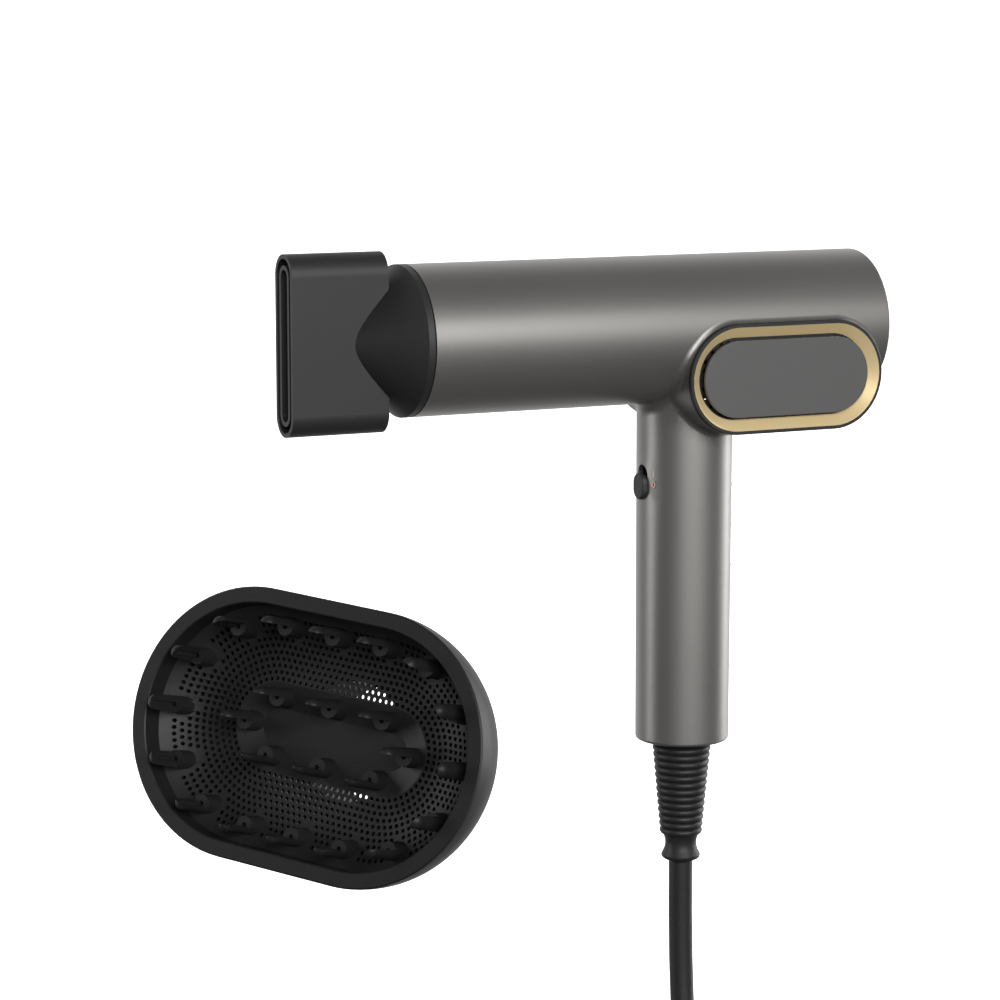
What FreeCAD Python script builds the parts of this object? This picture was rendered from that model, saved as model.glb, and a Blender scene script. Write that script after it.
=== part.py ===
# Hand-held hair dryer: a straight metal-look barrel on a round handle, side intakes in a raised
# oblong pod, a turning slot nozzle, a loose oblong diffuser with prongs, and its mains cord.
# Millimetres, +Z up.  X runs along the barrel and the air leaves towards -X.
# The sizes below count Z from the barrel's axis; save() lifts every piece so that the frame's
# origin is the middle of the hand grip, on the handle's axis.
import FreeCAD, Part
import math
import os

os.makedirs("parts", exist_ok=True)
V = FreeCAD.Vector
AXIS_X, AXIS_Y, AXIS_Z = V(1, 0, 0), V(0, 1, 0), V(0, 0, 1)

# ---------------------------------------------------------------- driving dimensions
# housing
barrel_d = 57.0
barrel_front = 119.2            # mouth of the barrel, ahead of the handle's axis
barrel_rear = 76.0              # rear end of the barrel, behind the handle's axis
shell_wall = 2.0
handle_top_d = 37.7             # at the barrel's axis
handle_end_d = 36.8
handle_drop = 162.4             # from the barrel's axis to the handle's lower rim
handle_blend = 5.0
rim_round = 1.2
grip_below_axis = 95.0          # middle of the hand grip

# intake pods, one each side
pod_length = 85.4
pod_height = 42.5
pod_centre_x = 27.7
pod_centre_z = -17.5
pod_stand = 2.85                # a pod's face stands this far past the barrel's side
pod_blend = 2.5
cover_rim = 1.4                 # flat band of the cover's frame
cover_plate = 1.8                # edge thickness of the cover
cover_gap = 0.2                 # seam between the pod's wall and the cover
trim_slope_width = 4.1
trim_slope_depth = 3.4
trim_sheet = 0.6
air_gap = 1.0                   # between the trim ring and the panel
panel_thick = 1.4
cover_skirt = 1.2
cover_fit = 0.3                 # skirt inside the pod's wall
mesh_plate = 0.6
mesh_hole_d = 2.0
mesh_pitch = 3.4

# nozzle
body_gap = 0.3                  # between pieces that move past each other
bearing_gap = 0.06
nozzle_lip = 2.75
nozzle_wall = 1.8
slot_width = 16.1               # outside, across Y
slot_height = 67.2              # outside, along Z
slot_front = 167.5              # front edge, ahead of the handle's axis
slot_back = 129.2
slot_wall = 1.6
channel_side_gap = 1.9
channel_end_gap = 2.5
spigot_length = 7.3

# controls
switch_z = -60.8
switch_travel = 3.9
switch_cap_width = 8.2
switch_cap_height = 10.5
switch_cap_stand = 1.9
switch_slot_width = 7.4
switch_slot_height = 12.8
button_d = 8.0
button_stand = 0.9
button_travel = 1.0
button_first_z = -62.0
button_pitch = 16.0
button_count = 3

# cord
cord_d = 9.5
relief_length = 50.0
relief_top_r = 11.9
relief_end_r = 8.3
relief_ribs = 14
relief_rib_pitch = 2.8
relief_collar_r = 7.7
coil_outer_turn = 54.5          # radius at the middle of an outer turn
coil_inner_turn = 45.0
coil_levels = 3
tie_width = 14.0
tie_thick = 1.4
plug_body_length = 38.0
plug_width = 36.0
plug_height = 17.0
plug_pin_d = 4.8
plug_pin_length = 19.0
plug_pin_pitch = 19.0

# diffuser
bowl_length = 150.0
bowl_width = 100.6
bowl_depth = 38.0
bowl_wall = 2.0
bowl_rim = 6.0                  # flat band round the mouth
plate_edge_drop = 9.0
plate_centre_drop = 20.0
plate_thick = 1.6
well_edge = 16.4
well_floor = 6.8
well_drop = 3.4
prong_ring = 37.2
prong_count = 16
prong_tip = 8.0                 # height of the outer prongs' tips over the rim
inner_prong_ring = 11.0
inner_prong_pitch = 23.0
inner_prong_tip = 0.0
collar_length = 16.0
diffuser_passage_r = 22.5

# ---- fits, edges and inner pieces
snap = 0.01                     # how close a measured edge must lie
fit_gap = 0.1                   # between pieces that are pushed together
grip_bore_top = 20.0
rear_recess = 0.3               # the rear cap sits this far inside the barrel
rear_dish = 1.0
rear_dish_share = 0.62          # of the rear cap's radius
rear_edge = 0.5
rear_skirt_wall = 1.6

# ---- pods, covers and their panels
skirt_short = 1.4
panel_seat = 0.6
cover_edge = 0.3
mesh_fit = 0.05
mesh_border = 1.5
post_margin = 0.6
panel_sunk = 0.1
panel_edge = 0.3

# ---- outlet, heater and fan
ring_setback = 2.4
outlet_ring_wide = 2.4
guard_rim = 1.8
guard_hub_r = 4.0
guard_bar = 0.6                 # half the width of a spoke
needle_root_r = 0.7
needle_point_r = 0.1
mica_fit = 0.15
coil_margin = 7.0
cutout_r = 4.5
cutout_cap_r = 2.6
cutout_high = 4.0
cutout_z = 8.0
fuse_r = 1.6
fuse_half = 5.0
fuse_lead_r = 0.4
fuse_y = 2.1
fuse_z = -8.0
duct_inset = 3.0
vane_setback = 4.0
vane_half = 0.6
motor_nose_r = 5.0
motor_nose = 1.2
shaft_start = 6.0
impeller_boss_r = 4.0
hub_curve = 6.0
blade_half = 0.5
blade_root_r = 6.0
blade_pitch = 38.0

# ---- switch, buttons and boards
switch_flange = 1.6
switch_body_side = 1.4
switch_body_half = 11.0
switch_pocket = 3.5
stem_overlap = 0.8
button_float = 3.3
button_round = 0.5
tact_high = 1.4
tact_half = 3.0
tact_r = 1.7
tact_stem = 0.6
spacer_y = 6.5
spacer_rise = 6.0
board_half = 12.0
parts_top = -90.0               # middle of the capacitor
parts_low = -118.0              # lower end of the relay and the chip
part_y = 5.5
capacitor_r = 5.0
capacitor_high = 11.5
choke_r = 4.5
choke_high = 8.0
relay_high = 9.0
relay_long = 16.0
chip_high = 1.6
chip_long = 10.0
sink_deep = 10.0
sink_sheet = 1.4
sink_z = (-142.0, -124.0)

# ---- end cap, clamp and leads
relief_flange_thick = 2.4
clamp_half = 3.4
screw_r = 1.0
screw_long = 8.0
screw_head_r = 2.2
screw_head = 1.6
heater_lead_r = 0.9
lead_block_half = 8.5
waist_depth = 1.5
collar_high = 3.4
cord_exit = 0.6

# ---- nozzle ring
retainer_wall = 2.1
neck_depth = 1.2
lip_depth = 0.4
lip_play = 0.15
throat_step = 0.6
route_pull = 0.45               # share of a bend's chord that its end is pulled along

# ---- edges of the diffuser
plate_seat = 1.7
outer_break = 0.6
mouth_break = 0.4
plate_sag_share = 0.7
plate_sag = 1.1
prong_well_in = 0.7

# ---------------------------------------------------------------- shared values
barrel_r = barrel_d / 2
bore_r = barrel_r - shell_wall
handle_top_r = handle_top_d / 2
handle_end_r = handle_end_d / 2
pod_r = pod_height / 2
pod_face = barrel_r + pod_stand  # from the middle plane
pod_half_run = (pod_length - pod_height) / 2


def handle_r(z):
    """Outside radius of the tapered handle at height z (negative below the barrel's axis)."""
    return handle_top_r + (handle_end_r - handle_top_r) * (-z / handle_drop)


# ---------------------------------------------------------------- helpers
def save(shape, node):
    piece = shape.copy()
    piece.translate(V(0, 0, grip_below_axis))
    piece.exportStep("parts/" + node + ".step")


def box(x, y, z):
    """Block between pairs of limits."""
    return Part.makeBox(x[1] - x[0], y[1] - y[0], z[1] - z[0], V(x[0], y[0], z[0]))


def rod(r, start, end):
    return Part.makeCylinder(r, start.distanceToPoint(end), start, end - start)


def fuse(shapes):
    return shapes[0].multiFuse(shapes[1:]).removeSplitter() if len(shapes) > 1 else shapes[0]


def group(shapes):
    return Part.makeCompound(shapes)


def polygon(points):
    return Part.Face(Part.makePolygon(points + [points[0]]))


def turned_x(profile):
    """Solid turned about the X axis from (x, r) corners."""
    return polygon([V(x, 0, r) for x, r in profile]).revolve(V(0, 0, 0), AXIS_X, 360)


def turned_z(profile, centre=V(0, 0, 0), angle=360):
    """Solid turned about an upright axis from (r, z) corners."""
    return polygon([V(r, 0, z) + centre for r, z in profile]).revolve(centre, AXIS_Z, angle)


def oblong_wire(r, half_run, z=0):
    a, b = V(half_run, r, z), V(half_run, -r, z)
    c, d = V(-half_run, -r, z), V(-half_run, r, z)
    right = Part.Arc(a, V(half_run + r, 0, z), b).toShape()
    left = Part.Arc(c, V(-half_run - r, 0, z), d).toShape()
    return Part.Wire([right, Part.makeLine(b, c), left, Part.makeLine(d, a)])


def oblong(r, half_run, z0, z1):
    """Upright prism with an oblong outline, its long side along X."""
    return Part.Face(oblong_wire(r, half_run, z0)).extrude(V(0, 0, z1 - z0))


def oblong_sweep(profile, half_run):
    """Solid that carries (r, z) corners round an oblong path, r counted outwards."""
    side = polygon([V(half_run, r, z) for r, z in profile])
    straight = side.extrude(V(-2 * half_run, 0, 0))
    turn = side.revolve(V(half_run, 0, 0), AXIS_Z, -180)
    pieces = [straight, turn]
    for piece in (straight, turn):
        pieces.append(piece.rotated(V(0, 0, 0), AXIS_Z, 180))
    return fuse(pieces)


def to_near_side(shape):
    """Lays an upright oblong piece on the pod's near face: its Z points out, towards -Y."""
    piece = shape.rotated(V(0, 0, 0), AXIS_X, 90)
    return piece.translated(V(pod_centre_x, 0, pod_centre_z))


def to_slot(shape):
    """Turns an upright oblong piece so that its Z points forward, -X, and its run is upright."""
    return shape.rotated(V(0, 0, 0), AXIS_Y, -90)


def far_side(shape):
    return shape.mirror(V(0, 0, 0), AXIS_Y)


# ================================================================ housing
def make_shell():
    """One moulded T: barrel, handle and the two pods, hollow all through."""
    barrel = rod(barrel_r, V(-barrel_front, 0, 0), V(barrel_rear, 0, 0))
    handle = Part.makeCone(handle_end_r, handle_top_r, handle_drop, V(0, 0, -handle_drop))
    body = barrel.fuse(handle)
    joint = [e for e in body.Edges if is_handle_joint(e)]
    body = body.makeFillet(handle_blend, joint)
    pod_wall_end = pod_face - cover_plate - cover_gap
    pod = to_near_side(oblong(pod_r, pod_half_run, -pod_wall_end, pod_wall_end))
    body = body.fuse(pod)
    body = body.makeFillet(pod_blend, [e for e in body.Edges if is_pod_joint(e, pod_wall_end)])
    body = body.makeFillet(rim_round, [e for e in body.Edges if is_outer_rim(e)])

    bore = rod(bore_r, V(-barrel_front - 1, 0, 0), V(barrel_rear + 1, 0, 0))
    grip_bore = Part.makeCone(handle_end_r - shell_wall, handle_r(-grip_bore_top) - shell_wall,
                              handle_drop - grip_bore_top, V(0, 0, -handle_drop))
    hollow = to_near_side(oblong(pod_r - shell_wall, pod_half_run, -pod_face, pod_face))
    return body.cut(fuse([bore, grip_bore, hollow, switch_slot()] + button_holes()))


def is_handle_joint(edge):
    """The curve where the handle leaves the barrel: it lies on the barrel, near the handle."""
    box_ = edge.BoundBox
    return (box_.XLength > handle_top_r and box_.YLength > handle_top_r
            and box_.ZMax < 0 and box_.ZMin > -barrel_r - 1)


def is_pod_joint(edge, wall_end):
    """A curve where the pod's wall meets the barrel or the handle, short of the pod's face."""
    middle = edge.valueAt((edge.FirstParameter + edge.LastParameter) / 2)
    x, z = middle.x - pod_centre_x, middle.z - pod_centre_z
    off_wall = abs(math.hypot(max(abs(x) - pod_half_run, 0), z) - pod_r)
    box_ = edge.BoundBox
    along_y = box_.XLength < 0.5 and box_.ZLength < 0.5
    return off_wall < 2 * snap and abs(middle.y) < wall_end - snap and not along_y


def is_outer_rim(edge):
    """The barrel's rear rim and the handle's lower rim."""
    box_ = edge.BoundBox
    rear = abs(box_.XMin - barrel_rear) < snap and abs(box_.XMax - barrel_rear) < snap
    lower = abs(box_.ZMin + handle_drop) < snap and abs(box_.ZMax + handle_drop) < snap
    return rear or lower


def slot_prism(width, height, z, x0, x1):
    """Prism along X with an upright oblong outline."""
    outline = oblong(width / 2, (height - width) / 2, 0, x1 - x0)
    return outline.rotated(V(0, 0, 0), AXIS_Y, 90).translated(V(x0, 0, z))


# the cap hides the slot's lower end when off, and its upper end when on
slot_z = switch_z + switch_travel / 2


def switch_slot():
    return slot_prism(switch_slot_width, switch_slot_height, slot_z,
                      -handle_top_r - 5, -handle_top_r + 2 * shell_wall)


def button_heights():
    return [button_first_z - i * button_pitch for i in range(button_count)]


def button_holes():
    r = button_d / 2 + body_gap
    return [rod(r, V(handle_end_r - 2 * shell_wall, 0, z), V(handle_top_r + 5, 0, z))
            for z in button_heights()]


save(make_shell(), "body_shell")

# rear cap, pressed into the barrel's rear end, with a shallow finger-wide dish
rear_cap_thick = 2.4
rear_skirt = 9.0
rear_fit = 0.1


def make_rear_cap():
    face = barrel_rear - rear_recess
    r = bore_r - rear_fit
    return turned_x([(face - rear_cap_thick, 0), (face - rear_dish, 0), (face - rear_dish, r * rear_dish_share),
                     (face - rear_dish / 5, r * (rear_dish_share + 0.08)), (face, r * (rear_dish_share + 0.12)), (face, r - rear_edge), (face - rear_edge, r),
                     (face - rear_skirt, r), (face - rear_skirt, r - rear_skirt_wall),
                     (face - rear_cap_thick, r - rear_skirt_wall)])


# ================================================================ intake covers, one each side
# Each lifts straight off its pod for cleaning: frame, bright trim ring, mesh and flat panel.
trim_inner_r = pod_r - cover_rim - trim_slope_width
panel_r = trim_inner_r - air_gap
trim_inner_h = pod_face - trim_slope_depth - trim_sheet
mesh_h = trim_inner_h - skirt_short
skirt_r = pod_r - shell_wall - cover_fit
skirt_foot = mesh_h - 2.0


def cover_frame():
    """Flat outer band, a sloping seat for the trim ring, and a skirt that plugs into the pod."""
    band_r = pod_r - cover_rim
    seat_r = trim_inner_r - panel_seat
    under = pod_face - cover_plate
    skirt_in = skirt_r - cover_skirt
    profile = [(pod_r, pod_face - cover_edge), (pod_r - cover_edge, pod_face), (band_r, pod_face),
               (band_r, pod_face - trim_sheet), (trim_inner_r, trim_inner_h),
               (seat_r, trim_inner_h), (seat_r, mesh_h + mesh_plate),
               (skirt_in, mesh_h + mesh_plate), (skirt_in, skirt_foot),
               (skirt_r, skirt_foot), (skirt_r, under), (pod_r, under)]
    return oblong_sweep(profile, pod_half_run)


def cover_trim():
    """Bright funnel-shaped ring, a thin pressed sheet."""
    band_r = pod_r - cover_rim
    profile = [(band_r, pod_face), (trim_inner_r, pod_face - trim_slope_depth),
               (trim_inner_r, trim_inner_h), (band_r, pod_face - trim_sheet)]
    return oblong_sweep(profile, pod_half_run)


def cover_mesh():
    """Perforated plate behind the air gap; its holes keep clear of the panel's posts."""
    r = skirt_r - cover_skirt - mesh_fit
    outline = oblong_wire(r, pod_half_run, mesh_h)
    hole_r = mesh_hole_d / 2
    rows = int((r - mesh_border) / mesh_pitch)
    holes = []
    for row in range(-rows, rows + 1):
        z = row * mesh_pitch
        reach = pod_half_run + math.sqrt((r - mesh_border) ** 2 - z * z) - hole_r
        steps = int(reach / mesh_pitch)
        for step in range(-steps, steps + 1):
            x = step * mesh_pitch
            if all(math.hypot(x - px, z) > post_r + hole_r + post_margin for px in post_places()):
                circle = Part.Circle(V(x, z, mesh_h), AXIS_Z, hole_r).toShape()
                holes.append(Part.Wire([circle]))
    return Part.Face([outline] + holes).extrude(V(0, 0, mesh_plate))


post_r = 2.2
post_count = 4


def post_places():
    span = 2 * pod_half_run
    return [-pod_half_run + i * span / (post_count - 1) for i in range(post_count)]


def cover_panel():
    """Flat panel level with the rim, on posts that stand on the mesh."""
    back = pod_face - panel_sunk - panel_thick
    plate = oblong(panel_r, pod_half_run, back, back + panel_thick)
    plate = plate.makeFillet(panel_edge, [e for e in plate.Edges
                                   if e.BoundBox.ZMin > back + panel_thick - snap])
    posts = [Part.makeCylinder(post_r, back - mesh_h - mesh_plate,
                               V(x, 0, mesh_h + mesh_plate)) for x in post_places()]
    return fuse([plate] + posts)


for piece, name in ((cover_frame(), "intake_frame"), (cover_trim(), "intake_trim"),
                    (cover_mesh(), "intake_mesh"), (cover_panel(), "intake_panel")):
    near = to_near_side(piece)
    save(near, name + "_near")
    save(far_side(near), name + "_far")


def covers_room():
    """The space both covers take inside the barrel, with clearance all round."""
    near = to_near_side(oblong(skirt_r + body_gap, pod_half_run, skirt_foot - 2 * body_gap, pod_face))
    return near.fuse(far_side(near))


save(make_rear_cap().cut(covers_room()), "rear_cap")


# ================================================================ air outlet and heater
outlet_ring_x = -barrel_front + spigot_length + ring_setback + body_gap
grille_thick = 2.4
outlet_ring_thick = 1.6
guard_rings = 3
guard_spokes = 6


def outlet_ring():
    """Steel ring in the mouth, which the nozzle's magnet pulls on."""
    return turned_x([(outlet_ring_x, bore_r - outlet_ring_wide), (outlet_ring_x + outlet_ring_thick, bore_r - outlet_ring_wide),
                     (outlet_ring_x + outlet_ring_thick, bore_r), (outlet_ring_x, bore_r)])


def outlet_grille():
    """Guard behind the mouth: rings on spokes round a small hub."""
    x0 = outlet_ring_x + outlet_ring_thick
    x1 = x0 + grille_thick
    outer = turned_x([(x0, bore_r - guard_rim), (x1, bore_r - guard_rim), (x1, bore_r), (x0, bore_r)])
    hub = rod(guard_hub_r, V(x0, 0, 0), V(x1, 0, 0))
    pieces = [outer, hub]
    step = (bore_r - guard_rim - guard_hub_r) / (guard_rings + 1)
    for i in range(guard_rings):
        r = guard_hub_r + step * (i + 1)
        pieces.append(turned_x([(x0, r - 0.5), (x1, r - 0.5), (x1, r + 0.5), (x0, r + 0.5)]))
    for i in range(guard_spokes):
        spoke = box((x0, x1), (-guard_bar, guard_bar), (guard_hub_r - 1, bore_r - 1))
        pieces.append(spoke.rotated(V(0, 0, 0), AXIS_X, i * 360 / guard_spokes))
    return fuse(pieces)


ion_needle_length = 6.0


def ion_needles():
    x = outlet_ring_x + outlet_ring_thick
    return group([Part.makeCone(needle_root_r, needle_point_r, ion_needle_length, V(x, 0, z), V(-1, 0, 0))
                  for z in (-2.0, 2.0)])


heater_front = outlet_ring_x + outlet_ring_thick + grille_thick + 1.0
heater_back = -34.0
mica_thick = 0.6
heater_turns = 12
heater_wire_r = 1.1
heater_turn_r = 19.0


def mica_sleeve():
    r = bore_r - mica_fit
    return turned_x([(heater_front, r - mica_thick), (heater_back, r - mica_thick),
                     (heater_back, r), (heater_front, r)])


def mica_cross():
    half = bore_r - mica_fit - mica_thick - fit_gap
    x = (heater_front + 2.0, heater_back - 2.0)
    upright = box(x, (-0.5, 0.5), (-half, half))
    level = box(x, (-half, half), (-0.5, 0.5))
    return upright.fuse(level).removeSplitter()


def heater_coils():
    """Resistance wire wound round the mica cross, drawn as its separate turns."""
    span = heater_back - heater_front - 2 * coil_margin
    turns = []
    for i in range(heater_turns):
        x = heater_front + coil_margin + i * span / (heater_turns - 1)
        turns.append(Part.makeTorus(heater_turn_r, heater_wire_r, V(x, 0, 0), AXIS_X))
    return group(turns)


def thermal_cutout():
    """Bimetal switch on the upright board, near the fan."""
    x = heater_back - coil_margin
    can = rod(cutout_r, V(x, 0.5, cutout_z), V(x, 0.5 + cutout_high, cutout_z))
    cap = rod(cutout_cap_r, V(x, 0.5 + cutout_high, cutout_z), V(x, 2 + cutout_high, cutout_z))
    return can.fuse(cap)


def thermal_fuse():
    x = heater_back - cutout_z
    body = rod(fuse_r, V(x - fuse_half, fuse_y, fuse_z), V(x + fuse_half, fuse_y, fuse_z))
    leads = [rod(fuse_lead_r, V(x - fuse_half - 4, fuse_y, fuse_z), V(x - fuse_half, fuse_y, fuse_z)),
             rod(fuse_lead_r, V(x + fuse_half, fuse_y, fuse_z), V(x + fuse_half + 2, fuse_y, fuse_z))]
    return fuse([body] + leads)


for piece, name in ((outlet_ring(), "outlet_ring"), (outlet_grille(), "outlet_grille"),
                    (ion_needles(), "ion_needles"), (mica_sleeve(), "mica_sleeve"),
                    (mica_cross(), "mica_cross"), (heater_coils(), "heater_coils"),
                    (thermal_cutout(), "thermal_cutout"), (thermal_fuse(), "thermal_fuse")):
    save(piece, name)


# ================================================================ fan
fan_front = -28.0
fan_back = 17.0
duct_r = bore_r - duct_inset
duct_wall = 1.4
hub_r = 13.6
hub_wall = 1.2
vane_count = 7
blade_count = 9
fan_shaft_r = 1.5
blade_clearance = 0.5
motor_back = -5.0
impeller_front = -3.0
impeller_back = 11.0


def fan_duct():
    """Plastic tube with a hub for the motor, held by straight guide vanes."""
    tube = turned_x([(fan_front, duct_r - duct_wall), (fan_back, duct_r - duct_wall),
                     (fan_back, duct_r), (fan_front, duct_r)])
    hub = turned_x([(fan_front + 2, hub_r - hub_wall), (motor_back, hub_r - hub_wall),
                    (motor_back, hub_r), (fan_front + 2, hub_r)])
    nose = turned_x([(fan_front, 0), (fan_front + 2, 0), (fan_front + 2, hub_r),
                     (fan_front, hub_r - 3)])
    vanes = []
    for i in range(vane_count):
        vane = box((fan_front + vane_setback, motor_back - 2), (-vane_half, vane_half), (hub_r - 0.5, duct_r - 0.5))
        vanes.append(vane.rotated(V(0, 0, 0), AXIS_X, i * 360 / vane_count))
    return fuse([tube, hub, nose] + vanes)


def fan_mounts():
    """Two soft rings that keep the duct off the barrel."""
    rings = []
    for x in (fan_front + vane_setback, fan_back - 7):
        rings.append(turned_x([(x, duct_r), (x + 3, duct_r), (x + 3, bore_r), (x, bore_r)]))
    return group([part for ring in rings for part in ring.cut(covers_room()).Solids])


def motor_can():
    r = hub_r - hub_wall
    can = rod(r, V(fan_front + 2, 0, 0), V(motor_back, 0, 0))
    nose = rod(motor_nose_r, V(motor_back, 0, 0), V(motor_back + motor_nose, 0, 0))
    shaft_bore = rod(fan_shaft_r + bearing_gap, V(fan_front + shaft_start, 0, 0), V(motor_back + 3, 0, 0))
    return can.fuse(nose).cut(shaft_bore)


def fan_shaft():
    return rod(fan_shaft_r, V(fan_front + shaft_start + body_gap, 0, 0), V(impeller_back + 1, 0, 0))


def impeller():
    """Hub cone with swept blades, pressed on the shaft."""
    hub = turned_x([(impeller_front, fan_shaft_r), (impeller_back, fan_shaft_r),
                    (impeller_back, impeller_boss_r), (impeller_front + hub_curve, hub_r - 2), (impeller_front, hub_r - 1)])
    blades = []
    reach = duct_r - duct_wall - blade_clearance
    middle = (impeller_front + impeller_back) / 2
    for i in range(blade_count):
        blade = box((impeller_front + 1, impeller_back - 2), (-blade_half, blade_half), (blade_root_r, reach + 1))
        blade = blade.rotated(V(middle, 0, 0), AXIS_Z, blade_pitch)
        blades.append(blade.rotated(V(0, 0, 0), AXIS_X, i * 360 / blade_count))
    envelope = turned_x([(impeller_front, fan_shaft_r), (impeller_back, fan_shaft_r),
                         (impeller_back, reach), (impeller_front, reach)])
    return fuse([hub] + blades).common(envelope)


for piece, name in ((fan_duct(), "fan_duct"), (fan_mounts(), "fan_mounts"),
                    (motor_can(), "motor_can"), (fan_shaft(), "fan_shaft"),
                    (impeller(), "impeller")):
    save(piece, name)


# ================================================================ controls and electronics
board_x = 4.0
board_thick = 1.6
board_top = -50.0
board_bottom = -146.0
button_board_x = 9.0
switch_body_front = -handle_top_r + shell_wall + switch_flange
switch_body_back = -8.0
cap_round = 0.8


def switch_cap():
    """Thumb cap of the mains switch: it slides on the grip's surface, on a stem in the slot."""
    surface = handle_r(switch_z)
    cap = slot_prism(switch_cap_width, switch_cap_height, switch_z,
                     -surface - switch_cap_stand, -surface + 3)
    cap = cap.makeFillet(cap_round, [e for e in cap.Edges
                                     if e.BoundBox.XMax < -surface - switch_cap_stand + snap])
    under = Part.makeCone(handle_end_r + body_gap, handle_top_r + body_gap, handle_drop,
                          V(0, 0, -handle_drop))
    stem_height = switch_slot_height - switch_travel - 2 * body_gap
    stem_z = slot_z - switch_travel / 2
    stem = slot_prism(switch_slot_width - 2 * body_gap, stem_height, stem_z,
                      -surface - stem_overlap, switch_body_front + 3)
    return cap.cut(under).fuse(stem).removeSplitter()


def switch_body():
    """Slide switch under the slot; the stem runs in its pocket."""
    half_w = switch_slot_width / 2 + switch_body_side
    block = box((switch_body_front, switch_body_back), (-half_w, half_w),
                (slot_z - switch_body_half, slot_z + switch_body_half))
    pocket = slot_prism(switch_slot_width + fit_gap, switch_slot_height + 2 * body_gap, slot_z,
                        switch_body_front - 1, switch_body_front + switch_pocket)
    return block.cut(pocket)


def button_cap(z):
    """Press button: a cap through the grip's wall with a flange behind it."""
    flange_back = button_board_x + board_thick + button_float
    cap_end = handle_r(z) + button_stand
    flange = rod(button_d / 2 + 1, V(flange_back, 0, z), V(flange_back + 1, 0, z))
    cap = rod(button_d / 2, V(flange_back + 1, 0, z), V(cap_end, 0, z))
    cap = cap.makeFillet(button_round, [e for e in cap.Edges if e.BoundBox.XMin > cap_end - snap])
    return flange.fuse(cap)


def button_board():
    x = (button_board_x, button_board_x + board_thick)
    z = button_heights()
    return box(x, (-button_d, button_d), (z[-1] - button_d, z[0] + button_d))


def tact_switches():
    x0 = button_board_x + board_thick
    switches = []
    for z in button_heights():
        base = box((x0, x0 + tact_high), (-tact_half, tact_half), (z - tact_half, z + tact_half))
        switches.append(base.fuse(rod(tact_r, V(x0 + tact_high, 0, z), V(x0 + tact_high + tact_stem, 0, z))))
    return group(switches)


def board_spacers():
    """Pins between the two boards."""
    z = button_heights()
    places = [(y, h) for y in (-spacer_y, spacer_y) for h in (z[0] + spacer_rise, z[-1] - spacer_rise)]
    return group([rod(1.0, V(board_x + board_thick, y, h), V(button_board_x, y, h))
                  for y, h in places])


def main_board():
    return box((board_x, board_x + board_thick), (-board_half, board_half), (board_bottom, board_top))


def board_parts():
    """Capacitor, two chokes, a relay and a driver chip on the main board."""
    x = board_x
    can = rod(capacitor_r, V(x - capacitor_high, -part_y, parts_top), V(x, -part_y, parts_top))
    choke_a = rod(choke_r, V(x - choke_high, part_y, parts_top + 2), V(x, part_y, parts_top + 2))
    choke_b = rod(choke_r, V(x - choke_high, part_y, parts_top - 10), V(x, part_y, parts_top - 10))
    relay = box((x - relay_high, x), (-11, -2), (parts_low, parts_low + relay_long))
    chip = box((x - chip_high, x), (0.5, 9.5), (parts_low, parts_low + chip_long))
    return group([can, choke_a, choke_b, relay, chip])


def heat_sink():
    """Folded aluminium plate on the heater's power switch."""
    plate = box((board_x - sink_deep, board_x), (-7, sink_sheet - 7), sink_z)
    fins = [box((board_x - sink_deep, board_x - sink_deep + 1.2), (-7, 6), sink_z),
            box((board_x - sink_deep, board_x), (6 - sink_sheet, 6), sink_z)]
    return fuse([plate] + fins)


for i, name in enumerate(("speed_button", "heat_button", "cool_button")):
    save(button_cap(button_heights()[i]), name)
for piece, name in ((switch_cap(), "switch_cap"), (switch_body(), "switch_body"),
                    (button_board(), "button_board"), (tact_switches(), "tact_switches"),
                    (board_spacers(), "board_spacers"), (main_board(), "main_board"),
                    (board_parts(), "board_parts"), (heat_sink(), "heat_sink")):
    save(piece, name)


# ================================================================ lower end of the handle
end_cap_thick = 3.0
relief_neck_r = 8.4
relief_flange_out = 2.0
clamp_post_y = 13.2
clamp_post_r = 2.6
clamp_height = 11.0
clamp_bar_thick = 3.0
lead_r = 1.3
lead_x = -10.2
lead_y = 2.0
floor_seat = 0.4                # the end cap sits this far inside the rim
lead_block_low = -34.0
lead_block_high = -29.5

cap_low = -handle_drop + floor_seat
cap_high = cap_low + end_cap_thick
relief_flange_top = cap_high + relief_flange_thick


def end_cap():
    """Plug in the handle's end with two posts for the cord clamp."""
    r = handle_end_r - shell_wall - mesh_fit
    disc = Part.makeCylinder(r, end_cap_thick, V(0, 0, cap_low))
    posts = [Part.makeCylinder(clamp_post_r, clamp_height, V(0, y, cap_high))
             for y in (-clamp_post_y, clamp_post_y)]
    hole = Part.makeCylinder(relief_neck_r, end_cap_thick + 2, V(0, 0, cap_low - 1))
    bores = [Part.makeCylinder(screw_r + 0.05, clamp_height, V(0, y, cap_high + 1))
             for y in (-clamp_post_y, clamp_post_y)]
    return fuse([disc] + posts).cut(fuse([hole] + bores))


def cord_clamp():
    z = cap_high + clamp_height
    bar = box((-clamp_half, clamp_half), (-clamp_post_y - clamp_post_r, clamp_post_y + clamp_post_r), (z, z + clamp_bar_thick))
    holes = [Part.makeCylinder(screw_r + 0.25, clamp_bar_thick + 2, V(0, y, z - 1))
             for y in (-clamp_post_y, clamp_post_y)]
    return bar.cut(fuse(holes))


def clamp_screws():
    z = cap_high + clamp_height + clamp_bar_thick
    screws = []
    for y in (-clamp_post_y, clamp_post_y):
        head = Part.makeCylinder(screw_head_r, screw_head, V(0, y, z))
        shank = Part.makeCylinder(screw_r, screw_long, V(0, y, z - screw_long))
        cross = box((-0.3, 0.3), (y - 1.3, y + 1.3), (z + screw_head / 2, z + 2))
        screws.append(head.fuse(shank).cut(cross))
    return group(screws)


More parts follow.
